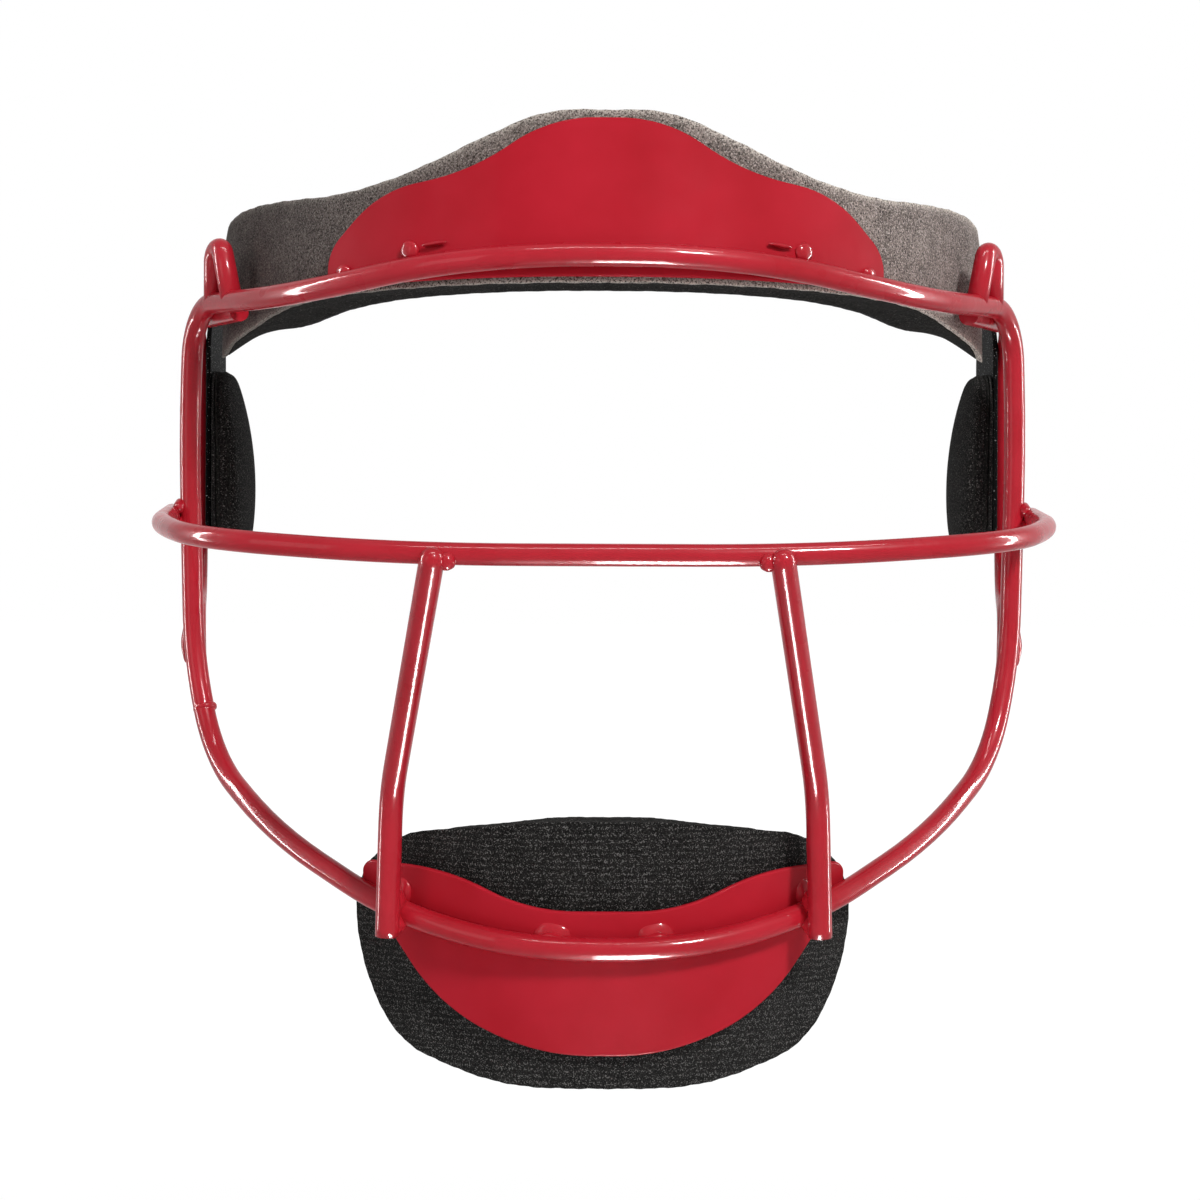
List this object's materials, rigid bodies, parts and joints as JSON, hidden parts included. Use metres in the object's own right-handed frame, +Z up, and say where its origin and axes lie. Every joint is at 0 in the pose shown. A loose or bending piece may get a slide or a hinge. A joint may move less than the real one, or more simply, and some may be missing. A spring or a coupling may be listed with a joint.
{
  "type": "softball face guard",
  "caption": "Open-faced sports face guard of bent and welded wire with a bowed eye bar, formed forehead and chin plates, and soft hook-and-loop pads at forehead, temples and chin.",
  "frame": {"origin": "the centre plane, between the temple wires, halfway from the brow bar down to the chin wire", "axes": "+X to the right seen from the front, +Y back towards the wearer, +Z up"},
  "size_m": [0.2122, 0.1546, 0.2099],
  "materials": {
    "coat": "gloss powder coat",
    "hook_tape": "woven nylon hooks",
    "loop_cloth": "brushed loop pile",
    "pad_cloth": "brushed knit",
    "foam": "closed-cell foam",
    "lining": "soft knit"
  },
  "bodies": {
    "guard": {"perimeter_wire": "coat", "eye_bar": "coat", "right_upright_bar": "coat", "left_upright_bar": "coat", "right_strap_bar": "coat", "left_strap_bar": "coat", "right_strap_loop": "coat", "left_strap_loop": "coat", "forehead_plate": "coat", "chin_plate": "coat", "weld_beads": "coat", "forehead_hook_tape": "hook_tape", "chin_hook_tape": "hook_tape", "right_hook_wrap": "hook_tape", "left_hook_wrap": "hook_tape"},
    "forehead_pad": {"forehead_pad_face": "loop_cloth", "forehead_pad_foam": "foam", "forehead_pad_liner": "lining"},
    "chin_pad": {"chin_pad_face": "pad_cloth", "chin_pad_foam": "foam", "chin_pad_liner": "lining"},
    "right_side_pad": {"right_side_pad_backing": "pad_cloth", "right_side_pad_foam": "foam", "right_side_pad_cover": "pad_cloth"},
    "left_side_pad": {"left_side_pad_backing": "pad_cloth", "left_side_pad_foam": "foam", "left_side_pad_cover": "pad_cloth"}
  },
  "joints": [
    {"name": "forehead_pad_peel", "type": "slide", "parent": "guard", "child": "forehead_pad", "axis": [0, 1, 0], "range_m": [0, 0.03]},
    {"name": "chin_pad_peel", "type": "slide", "parent": "guard", "child": "chin_pad", "axis": [0, 1, 0], "range_m": [0, 0.025]},
    {"name": "right_side_pad_peel", "type": "slide", "parent": "guard", "child": "right_side_pad", "axis": [-1, 0, 0], "range_m": [0, 0.012]},
    {"name": "left_side_pad_peel", "type": "slide", "parent": "guard", "child": "left_side_pad", "axis": [1, 0, 0], "range_m": [0, 0.012]}
  ]
}
